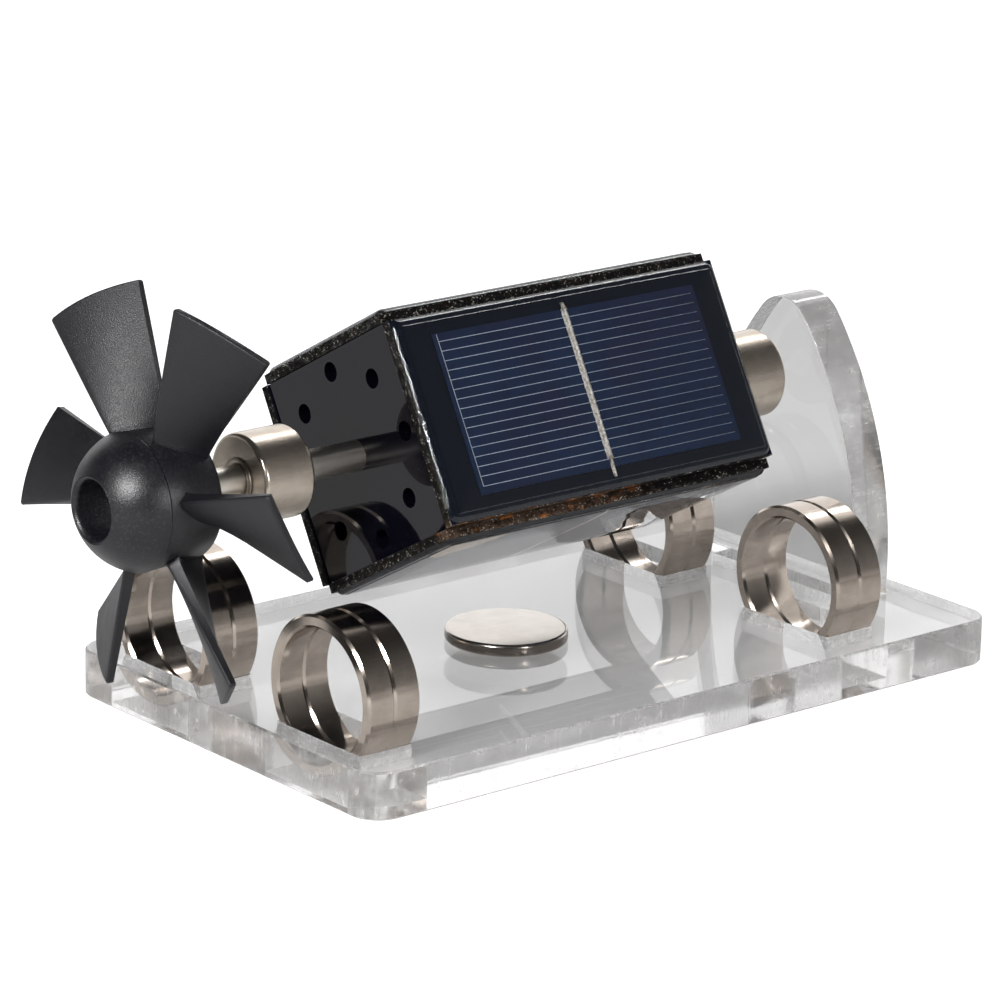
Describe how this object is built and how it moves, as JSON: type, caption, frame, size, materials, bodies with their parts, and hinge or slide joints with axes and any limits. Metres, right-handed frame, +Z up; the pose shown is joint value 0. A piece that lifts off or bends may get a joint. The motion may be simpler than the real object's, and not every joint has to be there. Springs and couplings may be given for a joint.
{
  "type": "solar magnetic levitation motor",
  "caption": "Light-driven demonstration motor: a solar-panelled rotor with a fan floats over ring magnets on a clear stand.",
  "frame": {"origin": "centre of the base sheet's underside", "axes": "+X from the fan to the end plate, +Z up"},
  "size_m": [0.1557, 0.078, 0.0762],
  "materials": {
    "clear_acrylic": "clear cast acrylic sheet, polished edges",
    "nickel": "nickel-plated neodymium magnet, warm satin shine",
    "polished_steel": "ground steel rod",
    "black_plastic": "moulded black plastic, satin with a fine grain",
    "black_gloss_sheet": "black acrylic sheet, mirror gloss",
    "board_black": "black circuit board, rough sawn edges",
    "silicon": "dark blue polycrystalline silicon with thin silver fingers",
    "clear_resin": "domed clear epoxy",
    "tinned_ribbon": "tinned copper ribbon",
    "copper_wire": "enamelled copper winding",
    "white_plastic": "plain plastic former and bush",
    "lead_insulation": "insulated hook-up wire"
  },
  "bodies": {
    "stand": {"base_plate": "clear_acrylic", "end_plate": "clear_acrylic", "field_magnet": "nickel", "ring_left_front_fan_side": "nickel", "ring_left_front_plate_side": "nickel", "ring_left_rear_fan_side": "nickel", "ring_left_rear_plate_side": "nickel", "ring_right_front_fan_side": "nickel", "ring_right_front_plate_side": "nickel", "ring_right_rear_fan_side": "nickel", "ring_right_rear_plate_side": "nickel"},
    "rotor": {"cell_ribbon_1": "tinned_ribbon", "cell_ribbon_2": "tinned_ribbon", "cell_ribbon_3": "tinned_ribbon", "cell_ribbon_4": "tinned_ribbon", "coil_a_half_1": "copper_wire", "coil_a_half_2": "copper_wire", "coil_b_half_1": "copper_wire", "coil_b_half_2": "copper_wire", "coil_former": "white_plastic", "fan": "black_plastic", "magnet_bush_left": "white_plastic", "magnet_bush_right": "white_plastic", "panel_leads_1": "lead_insulation", "panel_leads_2": "lead_insulation", "panel_leads_3": "lead_insulation", "panel_leads_4": "lead_insulation", "pivot_point": "polished_steel", "resin_cover_1": "clear_resin", "resin_cover_2": "clear_resin", "resin_cover_3": "clear_resin", "resin_cover_4": "clear_resin", "rotor_end_plate_left": "black_gloss_sheet", "rotor_end_plate_right": "black_gloss_sheet", "rotor_magnet_left": "nickel", "rotor_magnet_right": "nickel", "rotor_shaft": "polished_steel", "solar_board_1": "board_black", "solar_board_2": "board_black", "solar_board_3": "board_black", "solar_board_4": "board_black", "solar_cell_1": "silicon", "solar_cell_2": "silicon", "solar_cell_3": "silicon", "solar_cell_4": "silicon"}
  },
  "joints": [
    {"name": "rotor_spin", "type": "hinge", "parent": "stand", "child": "rotor", "pos_m": [0, 0, 0.0443], "axis": [1, 0, 0], "continuous": true}
  ]
}
